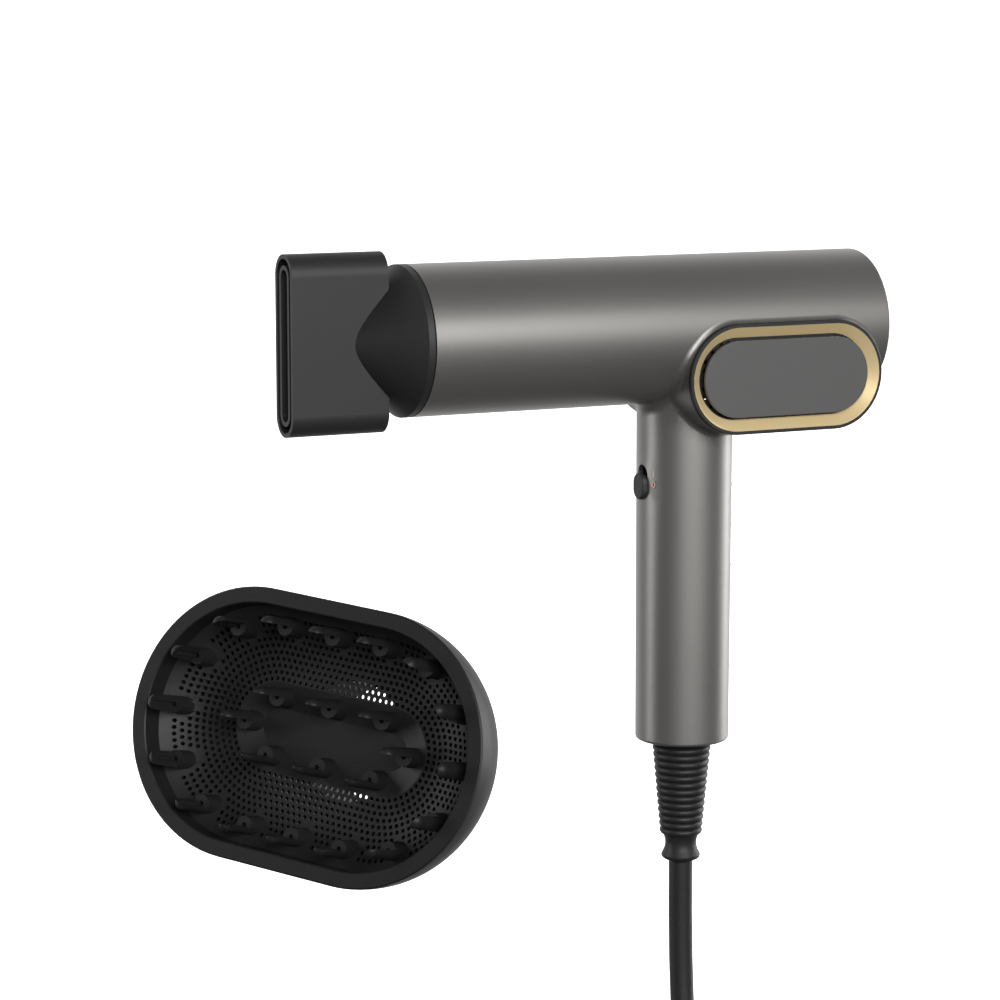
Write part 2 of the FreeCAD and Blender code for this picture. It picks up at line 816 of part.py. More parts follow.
def mains_leads():
    """The cord's two inner leads, from the strain relief up to the switch."""
    top = slot_z - switch_body_half
    return group([Part.makeCylinder(lead_r, top - relief_flange_top, V(lead_x, y, relief_flange_top))
                  for y in (-lead_y, lead_y)])


def heater_leads():
    """Leads from the main board up to the block under the fan."""
    return group([Part.makeCylinder(heater_lead_r, lead_block_low - board_top, V(board_x + board_thick / 2, y, board_top))
                  for y in (-3 * lead_y, -lead_y, lead_y, 3 * lead_y)])


def lead_block():
    return box((board_x - 3.2, board_x + 4.8), (-lead_block_half, lead_block_half), (lead_block_low, lead_block_high))


def strain_relief():
    """Ribbed rubber sleeve moulded on the cord, with a waist and a collar at its end."""
    top = cap_low
    profile = Part.Wire(relief_outline(top))
    body = Part.Face(profile).revolve(V(0, 0, 0), AXIS_Z, 360)
    neck = Part.makeCylinder(relief_neck_r, relief_flange_top - top, V(0, 0, top))
    flange = Part.makeCylinder(relief_neck_r + relief_flange_out, relief_flange_top - cap_high, V(0, 0, cap_high))
    return fuse([body, neck, flange])


def relief_outline(top):
    """Half outline from the top down: round ribs, a waist, and a rounded collar."""
    valley = 1.1
    edges = []
    last = V(relief_top_r - valley, 0, top)
    edges.append(Part.makeLine(V(0, 0, top), last))
    for i in range(relief_ribs):
        share = (i + 0.5) / relief_ribs
        rib_r = relief_top_r + (relief_end_r - relief_top_r) * share
        low_share = (i + 1) / relief_ribs
        low_r = relief_top_r + (relief_end_r - relief_top_r) * low_share - valley
        z = top - relief_rib_pitch * i
        end = V(low_r, 0, z - relief_rib_pitch)
        edges.append(Part.Arc(last, V(rib_r, 0, z - relief_rib_pitch / 2), end).toShape())
        last = end
    bottom = top - relief_length
    waist_r = relief_collar_r - waist_depth
    collar_top = V(relief_collar_r - 0.5, 0, bottom + collar_high)
    waist = V(waist_r, 0, (last.z + collar_top.z) / 2)
    edges.append(Part.Arc(last, waist, collar_top).toShape())
    edge_r = V(relief_collar_r, 0, bottom + collar_high - 1)
    foot = V(relief_collar_r - 1.4, 0, bottom + 0.6)
    mid = V(relief_collar_r - 0.3, 0, bottom + 1.3)
    edges.append(Part.makeLine(collar_top, edge_r))
    edges.append(Part.Arc(edge_r, mid, foot).toShape())
    end = V(cord_d / 2 + cord_exit, 0, bottom)
    edges.append(Part.makeLine(foot, end))
    edges.append(Part.makeLine(end, V(0, 0, bottom)))
    edges.append(Part.makeLine(V(0, 0, bottom), V(0, 0, top)))
    return edges


for piece, name in ((end_cap(), "end_cap"), (cord_clamp(), "cord_clamp"),
                    (clamp_screws(), "clamp_screws"), (mains_leads(), "mains_leads"),
                    (heater_leads(), "heater_leads"), (lead_block(), "lead_block"),
                    (strain_relief(), "strain_relief")):
    save(piece, name)


# ================================================================ slot nozzle
# A retainer ring with a magnet plugs into the barrel; the nozzle turns freely on its neck.
nozzle_rear = -(barrel_front + body_gap)
retainer_inner_r = bore_r - retainer_wall
retainer_neck_r = bore_r - neck_depth
retainer_lip_r = bore_r - lip_depth
spigot_r = bore_r - body_gap
neck_length = 1.8
lip_length = 1.0
magnet_length = 2.4
shoulder = -barrel_front - fit_gap
slot_r = slot_width / 2
slot_half_run = (slot_height - slot_width) / 2


def nozzle_retainer():
    lip_back = shoulder - neck_length
    lip_front = lip_back - lip_length
    spigot_end = -barrel_front + spigot_length
    return turned_x([(spigot_end, retainer_inner_r), (spigot_end, spigot_r), (shoulder, spigot_r),
                     (shoulder, retainer_neck_r), (lip_back, retainer_neck_r),
                     (lip_back, retainer_lip_r), (lip_front, retainer_lip_r),
                     (lip_front, retainer_inner_r)])


def nozzle_magnet():
    x = -barrel_front + spigot_length
    return turned_x([(x, retainer_inner_r + fit_gap), (x + magnet_length, retainer_inner_r + fit_gap),
                     (x + magnet_length, spigot_r - fit_gap), (x, spigot_r - fit_gap)])


def nozzle_shell():
    """Round lip, 45 degree cone and flat oblong spout in one moulding."""
    cone_start = nozzle_rear - nozzle_lip
    tip = cone_start - (barrel_r - slot_r)
    cone = turned_x([(nozzle_rear, 0), (nozzle_rear, barrel_r - cover_edge), (nozzle_rear - cover_edge, barrel_r),
                     (cone_start, barrel_r), (tip, slot_r), (tip, 0)])
    spout = to_slot(oblong(slot_r, slot_half_run, slot_back, slot_front))
    body = cone.fuse(spout).removeSplitter()

    bearing_r = retainer_neck_r + bearing_gap
    pocket_r = retainer_lip_r + body_gap
    pocket_back = shoulder - neck_length + lip_play
    pocket_front = pocket_back - lip_length - 2 * lip_play - fit_gap
    throat_r = pocket_r - throat_step
    hollow_end_r = slot_r - 1.0
    hollow = turned_x([(nozzle_rear + 1, 0), (nozzle_rear + 1, bearing_r), (pocket_back, bearing_r),
                       (pocket_back, pocket_r), (pocket_front, pocket_r), (pocket_front, throat_r),
                       (pocket_front - throat_r + hollow_end_r, hollow_end_r),
                       (pocket_front - throat_r + hollow_end_r, 0)])
    inside = to_slot(oblong(slot_r - slot_wall, slot_half_run, slot_back + slot_wall, slot_front + 1))
    return body.cut(hollow.fuse(inside))


def nozzle_channel():
    """Inner spout: the hot air's slot, on a flange inside the outer spout."""
    side = slot_r - slot_wall - channel_side_gap
    half_run = slot_height / 2 - slot_wall - channel_end_gap - side
    flange_back = slot_back + slot_wall
    flange = oblong(slot_r - slot_wall, slot_half_run, flange_back, flange_back + nozzle_wall)
    spout = oblong(side, half_run, flange_back, slot_front - 0.2)
    slot = oblong(side - slot_wall, half_run, flange_back - 1, slot_front + 1)
    return to_slot(flange.fuse(spout).cut(slot))


for piece, name in ((nozzle_retainer(), "nozzle_retainer"), (nozzle_magnet(), "nozzle_magnet"),
                    (nozzle_shell(), "nozzle_shell"), (nozzle_channel(), "nozzle_channel")):
    save(piece, name)


# ================================================================ mains cord
# The cord drops straight from the strain relief, turns forward, and goes into a tied coil.
relief_foot = cap_low - relief_length
cord_r = cord_d / 2
route = [V(0, 0, relief_foot), V(0, 0, -282), V(0, -18, -313), V(0, -49, -331), V(0, -83, -331)]
coil_top = route[-1].z + cord_r
coil_bottom = coil_top - coil_levels * cord_d
coil_centre = V(-coil_outer_turn, route[-1].y, 0)
tail_length = 38.0
tail_start = V(coil_centre.x, coil_centre.y + coil_outer_turn, coil_bottom + cord_r)
plug_z = coil_bottom + plug_height / 2
tail_end = V(tail_start.x + tail_length, tail_start.y, plug_z)


def cord_tube(points, r):
    """Straight runs joined by arcs; prints each arc's radius and checks the volume."""
    edges, start = [], points[0]
    length = 0
    for before, corner, after in zip(points, points[1:], points[2:]):
        into, out = (corner - before), (after - corner)
        run = min(into.Length, out.Length)
        half_turn = into.getAngle(out) / 2
        reach = route_pull * run
        arc_r = reach / math.tan(half_turn)
        into.normalize()
        out.normalize()
        a, b = corner - into * reach, corner + out * reach
        towards = out - into
        towards.normalize()
        middle = corner + towards * (arc_r / math.cos(half_turn) - arc_r)
        edges += [Part.makeLine(start, a), Part.Arc(a, middle, b).toShape()]
        length += start.distanceToPoint(a) + arc_r * 2 * half_turn
        start = b
        print("cord arc radius %.1f mm" % arc_r)
    edges.append(Part.makeLine(start, points[-1]))
    length += start.distanceToPoint(points[-1])
    circle = Part.makeCircle(r, points[0], points[1] - points[0])
    tube = Part.Wire(edges).makePipeShell([Part.Wire([circle])], True, False)
    print("cord tube %.1f mm long, volume ratio %.4f"
          % (length, tube.Volume / (math.pi * r * r * length)))
    return tube


def coil_profile(grow):
    """Corners of the coil's section: outer turns on every level, inner turns one level fewer."""
    outer = coil_outer_turn + cord_r + grow
    inner = coil_inner_turn - cord_r - grow
    step = coil_outer_turn - cord_r
    low, high = coil_bottom - grow, coil_top + grow
    cut = 2.0
    return [(inner, low + cut), (inner + cut, low), (outer - cut, low), (outer, low + cut),
            (outer, high - cut), (outer - cut, high), (step + cut, high),
            (inner, high - cord_d - cut)]


def cord_coil():
    return turned_z(coil_profile(0), coil_centre)


def cord_tie():
    """Hook-and-loop strap once round the coil, on the side away from the handle."""
    angle = math.degrees(tie_width / coil_outer_turn)
    band = turned_z(coil_profile(tie_thick), coil_centre, angle)
    band = band.rotated(coil_centre, AXIS_Z, 180 - angle / 2)
    return band.cut(cord_coil())


for piece, name in ((cord_tube(route, cord_r), "cord_tube"), (cord_coil(), "cord_coil"),
                    (cord_tie(), "cord_tie"),
                    (cord_tube([tail_start, tail_end], cord_r), "cord_tail")):
    save(piece, name)
turns = 2 * math.pi * ((coil_levels - 0.25) * coil_outer_turn
                       + (coil_levels - 1) * coil_inner_turn)
print("coil holds %.0f mm of cord" % turns)


# ---------------------------------------------------------------- plug, lying beside the coil
plug_relief_length = 22.0
plug_relief_rings = 4
plug_neck_r = 6.5
plug_taper = 20.0
plug_corner = 6.0
plug_edge = 2.5
plug_pin_round = 1.2
plug_groove_first = 5.0
plug_groove_pitch = 3.6
plug_groove_width = 1.4


def place_plug(shape):
    """The plug is built from height 0 with its pins along -Y; it lies with them along +X."""
    turned = shape.rotated(V(0, 0, 0), AXIS_Z, 90)
    return turned.translated(V(tail_end.x, tail_end.y, plug_z))


def plug_relief():
    """Tapered sleeve with cut grooves, moulded with the plug."""
    cone = Part.makeCone(cord_r + cord_exit, plug_neck_r, plug_relief_length, V(0, 0, 0), V(0, -1, 0))
    grooves = []
    for i in range(plug_relief_rings):
        y = -plug_groove_first - i * plug_groove_pitch
        ring = rod(plug_neck_r + 2, V(0, y, 0), V(0, y - plug_groove_width, 0))
        core = rod(cord_r + 0.2, V(0, y + 1, 0), V(0, y - plug_groove_width - 1, 0))
        grooves.append(ring.cut(core))
    return place_plug(cone.cut(fuse(grooves))).cut(cord_tube([tail_start, tail_end], cord_r))


def plug_body():
    """Flat two-pin body: narrow at the cord, full width at the face."""
    half, neck = plug_width / 2, plug_neck_r + 0.5
    y0 = -plug_relief_length
    y1 = y0 - plug_body_length
    outline = [V(-neck, y0, 0), V(-half, y0 - plug_taper, 0), V(-half, y1, 0),
               V(half, y1, 0), V(half, y0 - plug_taper, 0), V(neck, y0, 0)]
    plan = polygon(outline).extrude(V(0, 0, plug_height))
    upright = [e for e in plan.Edges if abs(e.BoundBox.ZLength - plug_height) < snap]
    plan = plan.makeFillet(plug_corner, upright)
    broad = [e for e in plan.Edges if e.BoundBox.ZLength < snap]
    plan = plan.makeFillet(plug_edge, broad)
    return place_plug(plan.translated(V(0, 0, -plug_height / 2)))


def plug_pins():
    face = -plug_relief_length - plug_body_length
    tip = face - plug_pin_length
    pins = []
    for x in (-plug_pin_pitch / 2, plug_pin_pitch / 2):
        pin = rod(plug_pin_d / 2, V(x, face, 0), V(x, tip, 0))
        pins.append(pin.makeFillet(plug_pin_round, [e for e in pin.Edges
                                                    if e.BoundBox.YMax < tip + snap]))
    return place_plug(group(pins))


for piece, name in ((plug_relief(), "plug_relief"), (plug_body(), "plug_body"),
                    (plug_pins(), "plug_pins")):
    save(piece, name)


# ================================================================ diffuser, lying loose
# Built in its own frame: Z out of the bowl, long side along X, rim at height 0.
diffuser_place = V(-171.6, -23.2, -139.7)
diffuser_turn = 35.4
diffuser_lift = 14.9
diffuser_roll = -5.2
bowl_r = bowl_width / 2
bowl_half_run = (bowl_length - bowl_width) / 2
bowl_side_r = 41.0              # round side of the bowl, in section
bowl_lip = 2.0
mouth_r = bowl_r - bowl_rim
seat_r = mouth_r + plate_seat


def place_diffuser(shape):
    piece = shape.rotated(V(0, 0, 0), AXIS_Z, diffuser_roll - 90)
    piece = piece.rotated(V(0, 0, 0), AXIS_Y, diffuser_lift - 90)
    return piece.rotated(V(0, 0, 0), AXIS_Z, diffuser_turn).translated(diffuser_place)


def side_point(radius, z):
    """Point of the bowl's round side, of the given section radius, at height z."""
    centre_r = bowl_r - bowl_side_r
    return V(bowl_half_run, centre_r + math.sqrt(radius ** 2 - (z + bowl_lip) ** 2), z)


def section_arc(radius, z0, z1):
    return Part.Arc(side_point(radius, z0), side_point(radius, (z0 + z1) / 2),
                    side_point(radius, z1)).toShape()


def lines(points):
    vectors = [V(bowl_half_run, r, z) for r, z in points]
    return [Part.makeLine(a, b) for a, b in zip(vectors, vectors[1:])]


def sweep_section(edges, half_run):
    """As oblong_sweep, from the edges of a closed section in the plane x = half_run."""
    side = Part.Face(Part.Wire(edges))
    straight = side.extrude(V(-2 * half_run, 0, 0))
    turn = side.revolve(V(half_run, 0, 0), AXIS_Z, -180)
    pieces = [straight, turn]
    for piece in (straight, turn):
        pieces.append(piece.rotated(V(0, 0, 0), AXIS_Z, 180))
    return fuse(pieces)


def diffuser_bowl():
    inner_r = bowl_side_r - bowl_wall
    floor_top = -bowl_depth + bowl_wall
    outer_foot = side_point(bowl_side_r, -bowl_depth)
    inner_foot = side_point(inner_r, floor_top)
    edges = [section_arc(bowl_side_r, -bowl_depth, -bowl_lip)]
    edges += lines([(bowl_r, -bowl_lip), (bowl_r, -outer_break), (bowl_r - outer_break, 0), (mouth_r + mouth_break, 0),
                    (mouth_r, -mouth_break), (mouth_r, -plate_edge_drop), (seat_r, -plate_edge_drop),
                    (seat_r, -bowl_lip), (side_point(inner_r, -bowl_lip).y, -bowl_lip)])
    edges.append(section_arc(inner_r, -bowl_lip, floor_top))
    edges += lines([(inner_foot.y, floor_top), (0, floor_top), (0, -bowl_depth),
                    (outer_foot.y, -bowl_depth)])
    bowl = sweep_section(edges, bowl_half_run)
    collar_end = -bowl_depth - collar_length
    spigot_end = collar_end - spigot_length
    collar = turned_z([(0, -bowl_depth + 0.5), (barrel_r, -bowl_depth + 0.5),
                       (barrel_r, collar_end), (spigot_r, collar_end), (spigot_r, spigot_end),
                       (0, spigot_end)])
    passage = Part.makeCylinder(diffuser_passage_r, floor_top - spigot_end + 2, V(0, 0, spigot_end - 1))
    return bowl.fuse(collar).cut(passage)


def diffuser_plate():
    """Dished plate with a well in its middle."""
    def surface(drop):
        a = V(bowl_half_run, mouth_r, -plate_edge_drop - drop)
        c = V(bowl_half_run, well_edge, -plate_centre_drop - drop)
        b = V(bowl_half_run, (mouth_r + well_edge) / 2, -plate_edge_drop * (1 - plate_sag_share)
              - plate_centre_drop * plate_sag_share - plate_sag - drop)
        well = -plate_centre_drop - well_drop - drop
        return Part.Arc(a, b, c).toShape(), lines([(well_edge, -plate_centre_drop - drop),
                                                   (well_floor, well), (0, well)])
    top_arc, top_lines = surface(0)
    low_arc, low_lines = surface(plate_thick)
    rim = lines([(mouth_r, -plate_edge_drop - plate_thick), (seat_r, -plate_edge_drop - plate_thick),
                 (seat_r, -plate_edge_drop), (mouth_r, -plate_edge_drop)])
    middle = lines([(0, -plate_centre_drop - well_drop),
                    (0, -plate_centre_drop - well_drop - plate_thick)])
    edges = [top_arc] + top_lines + middle + low_lines[::-1] + [low_arc] + rim
    ordered = Part.__sortEdges__(edges)
    return sweep_section(ordered, bowl_half_run)


prong_base_r = 3.9
prong_tip_r = 2.9
prong_flat_length = 15.0
prong_flat_back = 0.5           # the flat lies this far behind the prong's axis
prong_bore_r = 0.95
prong_bore_depth = 3.0
prong_cap = 2.6                 # from the tip to the end of the groove


def prong(x, y, tip, facing):
    """Tapered finger standing on the plate.  Above a ledge its front is cut away to a flat, and a
    groove down the flat carries on below the ledge as a bore."""
    base = -plate_centre_drop - well_drop
    ledge = tip - prong_flat_length
    stem = Part.makeCone(prong_base_r, prong_tip_r, tip - prong_tip_r - base, V(0, 0, base))
    finger = stem.fuse(Part.makeSphere(prong_tip_r, V(0, 0, tip - prong_tip_r)))
    wide = 2 * prong_base_r
    front = box((-prong_flat_back, wide), (-wide, wide), (ledge, tip + 1))
    bore_top = tip - prong_cap
    bore = rod(prong_bore_r, V(0, 0, ledge - prong_bore_depth), V(0, 0, bore_top))
    bore = bore.fuse(Part.makeSphere(prong_bore_r, V(0, 0, bore_top)))
    finger = finger.cut(front).cut(bore)
    return finger.rotated(V(0, 0, 0), AXIS_Z, facing).translated(V(x, y, 0))


def above(finger, plate):
    """The part of a finger that stands on the plate."""
    return max(finger.cut(plate).Solids, key=lambda piece: piece.BoundBox.ZMax)


def oblong_places(r, half_run, count):
    """Evenly spaced points on an oblong path, from the middle of its long side, with headings."""
    quarter = [half_run, math.pi * r + half_run, math.pi * r + 3 * half_run]
    whole = 4 * half_run + 2 * math.pi * r
    places = []
    for i in range(count):
        s = i * whole / count
        if s <= quarter[0]:
            places.append((s, r, 90))
        elif s < quarter[1]:
            a = math.pi / 2 - (s - quarter[0]) / r
            places.append((half_run + r * math.cos(a), r * math.sin(a), math.degrees(a)))
        elif s <= quarter[2]:
            places.append((half_run - (s - quarter[1]), -r, -90))
        elif s < whole - half_run:
            a = -math.pi / 2 - (s - quarter[2]) / r
            places.append((-half_run + r * math.cos(a), r * math.sin(a), math.degrees(a)))
        else:
            places.append((s - whole, r, 90))
    return places


def outer_prongs(plate):
    return group([above(prong(x, y, prong_tip, heading + 180), plate)
                  for x, y, heading in oblong_places(prong_ring, bowl_half_run, prong_count)])


def inner_prongs(plate):
    places = [(x, side * inner_prong_ring, side * 90) for side in (1, -1)
              for x in (-inner_prong_pitch, 0, inner_prong_pitch)]
    end = bowl_half_run + inner_prong_ring - prong_well_in
    places += [(end, 0, 90), (-end, 0, 90)]
    return group([above(prong(x, y, inner_prong_tip, heading + 180), plate)
                  for x, y, heading in places])


dish = diffuser_plate()
for piece, name in ((diffuser_bowl(), "diffuser_bowl"), (dish, "diffuser_plate"),
                    (outer_prongs(dish), "diffuser_prongs"),
                    (inner_prongs(dish), "diffuser_inner_prongs")):
    save(place_diffuser(piece), name)
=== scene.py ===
"""Hair dryer with a slot nozzle, a finger diffuser and a coiled mains cord."""
import math

import bmesh
import bpy
from mathutils import Matrix, Vector


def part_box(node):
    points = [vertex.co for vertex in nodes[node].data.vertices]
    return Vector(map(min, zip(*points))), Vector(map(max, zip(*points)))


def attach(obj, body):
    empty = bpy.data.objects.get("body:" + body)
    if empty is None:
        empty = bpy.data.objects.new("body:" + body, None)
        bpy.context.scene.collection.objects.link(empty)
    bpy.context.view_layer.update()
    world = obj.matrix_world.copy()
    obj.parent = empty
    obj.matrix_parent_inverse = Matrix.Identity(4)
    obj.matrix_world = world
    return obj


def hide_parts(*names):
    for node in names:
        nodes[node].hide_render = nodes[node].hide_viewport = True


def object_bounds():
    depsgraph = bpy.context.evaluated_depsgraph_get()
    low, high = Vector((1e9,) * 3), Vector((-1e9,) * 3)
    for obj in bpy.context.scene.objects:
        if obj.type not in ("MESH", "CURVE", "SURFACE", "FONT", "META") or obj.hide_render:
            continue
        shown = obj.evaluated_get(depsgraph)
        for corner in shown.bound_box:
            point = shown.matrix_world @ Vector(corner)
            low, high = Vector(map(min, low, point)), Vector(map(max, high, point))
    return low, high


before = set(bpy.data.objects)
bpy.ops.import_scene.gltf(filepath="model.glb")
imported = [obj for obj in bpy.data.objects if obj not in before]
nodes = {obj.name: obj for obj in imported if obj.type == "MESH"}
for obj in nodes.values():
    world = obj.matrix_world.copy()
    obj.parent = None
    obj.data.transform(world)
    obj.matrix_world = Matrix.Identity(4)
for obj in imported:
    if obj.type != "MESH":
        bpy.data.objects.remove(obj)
cad_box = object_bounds()
TAU = 2 * math.pi
MM = 0.001


# ---------------------------------------------------------------- studio
# A pale round floor under a world that is white ahead of the camera, one broad soft light
# in front, a strip on each side, a wash on the floor, and a long lens looking slightly down.
class Sock:
    """A shader socket that adds Math nodes when it meets an operator."""

    def __init__(self, tree, out):
        self.tree, self.out = tree, out

    def math(self, kind, *values):
        return self.tree.add("Math", {"operation": kind}, values)

    def __add__(self, other): return self.math("ADD", self, other)
    def __radd__(self, other): return self.math("ADD", other, self)
    def __sub__(self, other): return self.math("SUBTRACT", self, other)
    def __mul__(self, other): return self.math("MULTIPLY", self, other)
    def __rmul__(self, other): return self.math("MULTIPLY", other, self)


class Finish:
    """One node material, built from its Principled shader."""

    def __init__(self, name, **constants):
        self.material = bpy.data.materials.new(name)
        self.material.use_nodes = True
        self.nodes = self.material.node_tree.nodes
        self.links = self.material.node_tree.links
        self.shader = self.nodes["Principled BSDF"]
        for socket, value in constants.items():
            self.shader.inputs[socket.replace("_", " ")].default_value = value

    def add(self, kind, settings=None, values=(), out=0):
        """A node of a kind: its settings first, then its sockets by place or name."""
        node = self.nodes.new("ShaderNode" + kind)
        for key, value in (settings or {}).items():
            setattr(node, key, value)
        pairs = values.items() if isinstance(values, dict) else enumerate(values)
        for key, value in pairs:
            self.set(node.inputs[key], value)
        return Sock(self, node.outputs[out])

    def set(self, socket, value):
        if isinstance(value, Sock):
            self.links.new(value.out, socket)
        else:
            socket.default_value = value

    def feed(self, name, value):
        self.set(self.shader.inputs[name], value)

    def place(self, scale=(1, 1, 1)):
        coords = self.add("TexCoord", out="Object")
        return self.add("Mapping", {}, {"Vector": coords, "Scale": scale})

    def noise(self, where, scale, detail=3.0, rough=0.5):
        return self.add("TexNoise", {}, {"Vector": where, "Scale": scale, "Detail": detail,
                                         "Roughness": rough})

    def blend(self, factor, a, b):
        return self.add("Mix", {"data_type": "RGBA"}, {0: factor, 6: a, 7: b}, out=2)

    def bump(self, height, distance, strength=1.0):
        self.feed("Normal", self.add("Bump", {}, {"Strength": strength, "Distance": distance,
                                                  "Height": height}))


def colour(r, g, b):
    return (r, g, b, 1.0)


def stage_mesh(name, build, material):
    mesh = bpy.data.meshes.new(name)
    bm = bmesh.new()
    build(bm)
    bm.to_mesh(mesh)
    bm.free()
    mesh.materials.append(material)
    piece = bpy.data.objects.new(name, mesh)
    bpy.context.collection.objects.link(piece)
    return piece


floor_z = cad_box[0].z
FLOOR_R = 14.0


def floor_disc(bm):
    """A wide flat disc level with the lowest point of the part."""
    bmesh.ops.create_circle(bm, cap_ends=True, cap_tris=False, segments=96, radius=FLOOR_R)
    bmesh.ops.translate(bm, verts=bm.verts, vec=(0, 0, floor_z))


floor_finish = Finish("pale_floor", Roughness=0.85, Emission_Color=colour(1, 1, 1),
                      Emission_Strength=0.85)
floor_finish.feed("Base Color", floor_finish.blend(
    floor_finish.noise(floor_finish.place(), 3.0),
    colour(0.86, 0.86, 0.86), colour(0.88, 0.88, 0.88)))
floor = stage_mesh("studio_floor", floor_disc, floor_finish.material)
floor.visible_glossy = floor.visible_diffuse = False

CAMERA_AT = (-0.5877, -1.0384, 0.2064)
CAMERA_LOOK = Vector((0.4344, 0.8884, -0.1486))
LENS, FILM_WIDTH = 110.9, 36.0
camera = bpy.data.objects.new("camera", bpy.data.cameras.new("camera"))
bpy.context.collection.objects.link(camera)
camera.location = CAMERA_AT
camera.rotation_euler = CAMERA_LOOK.to_track_quat("-Z", "Y").to_euler()
camera.data.lens = LENS
camera.data.sensor_width = FILM_WIDTH
camera.data.clip_start = 0.05
camera.data.clip_end = 60.0
bpy.context.scene.camera = camera


def soft_light(name, at, towards, width, height, power):
    lamp = bpy.data.lights.new(name, "AREA")
    lamp.shape, lamp.size, lamp.size_y = "RECTANGLE", width, height
    lamp.energy = power
    light = bpy.data.objects.new(name, lamp)
    light.location = at
    light.rotation_euler = (Vector(towards) - Vector(at)).to_track_quat("-Z", "Y").to_euler()
    bpy.context.collection.objects.link(light)
    return light


soft_light("front_box", (-0.25, -2.36, 0.78), (0, 0, 0.06), 2.6, 1.2, 72)
soft_light("right_strip", (1.9, 0.15, 0.35), (0, 0, 0), 0.85, 1.8, 24)
soft_light("left_strip", (-1.7, 0.75, 0.25), (-0.05, 0, 0), 0.5, 1.8, 14)
floor_wash = soft_light("floor_wash", (0.9, 3.2, 2.4), (0.9, 3.2, -0.3), 5.0, 4.0, 160)
floor_wash.visible_glossy = False

BACK_WALL = Vector((0.50, 0.86, 0.0))
WALL_HEIGHT = 1.8
WALL_FADE = ((0.0, 0.07), (0.55, 0.075), (0.65, 0.13), (0.76, 0.65), (0.85, 1.0), (1.0, 1.05))
world = bpy.data.worlds.new("studio")
bpy.context.scene.world = world
world.use_nodes = True
world_nodes, world_links = world.node_tree.nodes, world.node_tree.links
looking = world_nodes.new("ShaderNodeTexCoord")
lowered, unit, along_wall = (world_nodes.new("ShaderNodeVectorMath") for _ in range(3))
lowered.operation, unit.operation, along_wall.operation = "MULTIPLY", "NORMALIZE", "DOT_PRODUCT"
lowered.inputs[1].default_value = (1, 1, WALL_HEIGHT)
along_wall.inputs[1].default_value = BACK_WALL.normalized()
half = world_nodes.new("ShaderNodeMath")
half.operation = "MULTIPLY_ADD"
half.inputs[1].default_value = half.inputs[2].default_value = 0.5
fade = world_nodes.new("ShaderNodeValToRGB")
while len(fade.color_ramp.elements) < len(WALL_FADE):
    fade.color_ramp.elements.new(0.5)
for element, (at, level) in zip(fade.color_ramp.elements, WALL_FADE):
    element.position, element.color = at, (level, level, level, 1)
world_links.new(looking.outputs["Generated"], lowered.inputs[0])
world_links.new(lowered.outputs["Vector"], unit.inputs[0])
world_links.new(unit.outputs["Vector"], along_wall.inputs[0])
world_links.new(along_wall.outputs["Value"], half.inputs[0])
world_links.new(half.outputs[0], fade.inputs["Fac"])
world_links.new(fade.outputs["Color"], world_nodes["Background"].inputs["Color"])
bpy.context.scene.view_settings.view_transform = "Standard"


# ---------------------------------------------------------------- mains cord
# Round black PVC lead, 9.5 mm across: it drops from the strain relief to the floor and the
# rest is wound into a tied ring of five turns, from which a short tail runs to the plug.
relief_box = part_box("strain_relief")
coil_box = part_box("cord_coil")
cord_r = 4.75 * MM
cord_exit = Vector((0, 0, relief_box[0].z))
outer_turn, inner_turn = 54.5 * MM, 45.0 * MM
ring_centre = Vector((-outer_turn, -83 * MM, 0))
levels = [coil_box[1].z - cord_r - i * 2 * cord_r for i in range(3)]
TURN_POINTS = 16
WHOLE_TURNS = 4.75
TAIL, TAIL_BEND = 38 * MM, 0.35
# A smooth spline cuts the corners of its points, so the points stand a little further out.
corner_gain = 1 / (0.75 + 0.25 * math.cos(TAU / TURN_POINTS))

drop = [cord_exit, (0, 0, -187 * MM), (0, -18 * MM, -218 * MM), (0, -49 * MM, -236 * MM)]
cells = [(outer_turn, levels[0]), (outer_turn, levels[1]), (inner_turn, levels[1]),
         (inner_turn, levels[2]), (outer_turn, levels[2])]
shift_starts = [0.88, 1.84, 2.80, 3.76]
SHIFT_SPAN = 0.14


def ring_place(turn):
    """Radius and height of the lead after this many turns of the ring."""
    radius, height = cells[0]
    for start, (r0, z0), (r1, z1) in zip(shift_starts, cells, cells[1:]):
        share = min(max((turn - start) / SHIFT_SPAN, 0), 1)
        share = share * share * (3 - 2 * share)
        radius += share * (r1 - r0)
        height += share * (z1 - z0)
    return radius, height


route = [Vector(p) for p in drop]
for i in range(int(WHOLE_TURNS * TURN_POINTS)):
    turn = (i + 0.5) / TURN_POINTS
    radius, height = ring_place(turn)
    angle = -TAU * turn
    reach = radius * corner_gain
    route.append(ring_centre + Vector((reach * math.cos(angle), reach * math.sin(angle), height)))
tail_y = ring_centre.y + outer_turn
plug_z = (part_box("plug_relief")[0].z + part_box("plug_relief")[1].z) / 2
route.append(Vector((ring_centre.x + TAIL_BEND * TAIL, tail_y, levels[2])))
route.append(Vector((ring_centre.x + TAIL, tail_y, plug_z)))

cord_curve = bpy.data.curves.new("mains_cord", "CURVE")
cord_curve.dimensions = "3D"
cord_curve.bevel_depth = cord_r
cord_curve.bevel_resolution = 6
cord_curve.use_fill_caps = True
spline = cord_curve.splines.new("NURBS")
spline.points.add(len(route) - 1)
for point, place in zip(spline.points, route):
    point.co = (*place, 1.0)
spline.order_u = 3
spline.use_endpoint_u = True
spline.resolution_u = 6
mains_cord = bpy.data.objects.new("mains_cord", cord_curve)
bpy.context.collection.objects.link(mains_cord)

